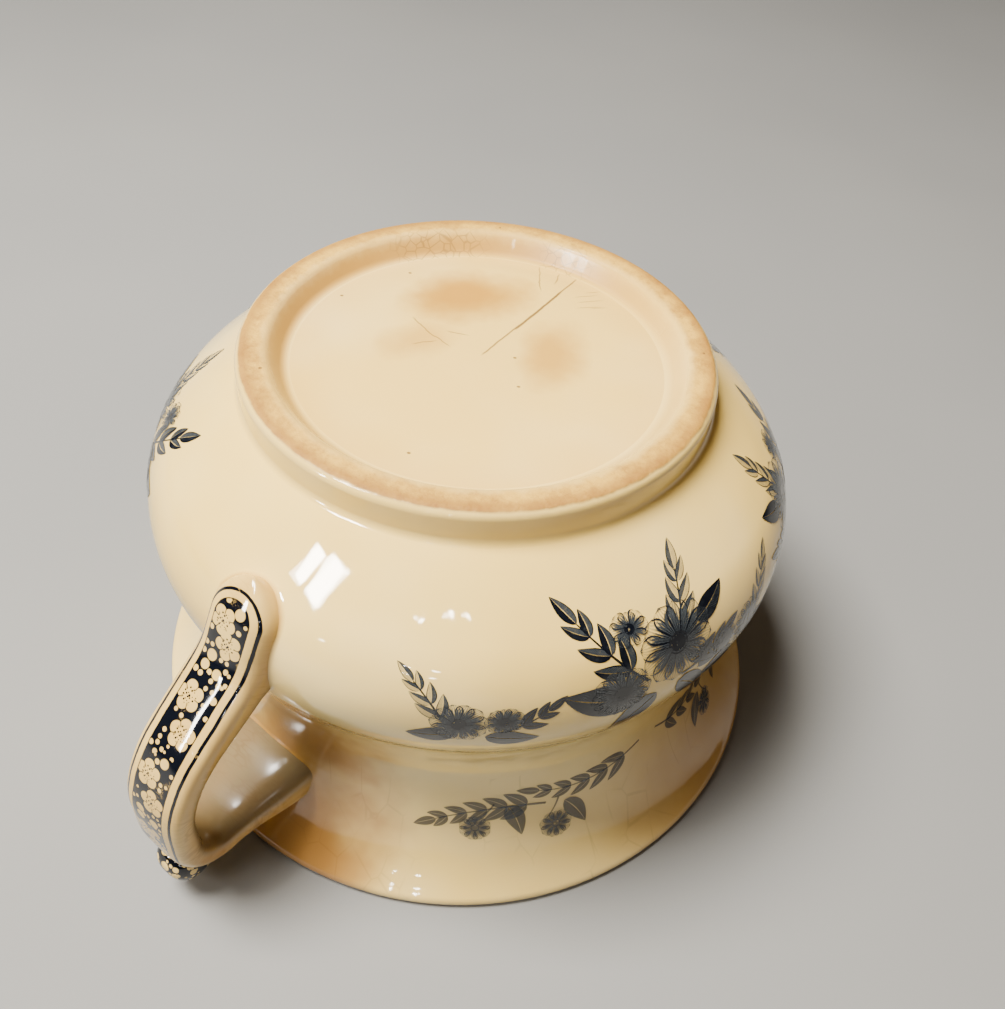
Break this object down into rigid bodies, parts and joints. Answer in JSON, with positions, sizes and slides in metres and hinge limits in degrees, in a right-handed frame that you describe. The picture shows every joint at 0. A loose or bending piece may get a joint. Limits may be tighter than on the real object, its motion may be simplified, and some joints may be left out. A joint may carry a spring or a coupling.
{
  "type": "chamber pot",
  "caption": "Round-bellied glazed earthenware chamber pot with a flared mouth, a foot ring and one strap handle, resting mouth down on its rim.",
  "frame": {"origin": "centre of the rim's resting plane, because the pot lies turned over on its rim as pictured", "axes": "+Z from the rim's plane up to the foot ring, and the handle is on the -Y side; a half turn about X or Y sets the pot on its foot for use"},
  "size_m": [0.211, 0.2385, 0.1351],
  "materials": {
    "bowl_glaze": "clear lead glaze over a cream body, with printed sprays and tea-coloured stains",
    "neck_glaze": "clear lead glaze over a cream body, with a printed garland",
    "foot_biscuit": "glazed sides, with an unglazed and stained standing face",
    "handle_glaze": "clear glaze over a printed border of blossoms and dots on a dark ground",
    "spur_glaze": "clear glaze over a printed dark ground",
    "slip": "glazed over, brown with age"
  },
  "bodies": {
    "root": {"bowl": "bowl_glaze", "flared_neck": "neck_glaze", "foot_ring": "foot_biscuit", "handle_strap": "handle_glaze", "thumb_spur": "spur_glaze", "upper_slip_joint": "slip", "lower_slip_joint": "slip"}
  },
  "joints": []
}
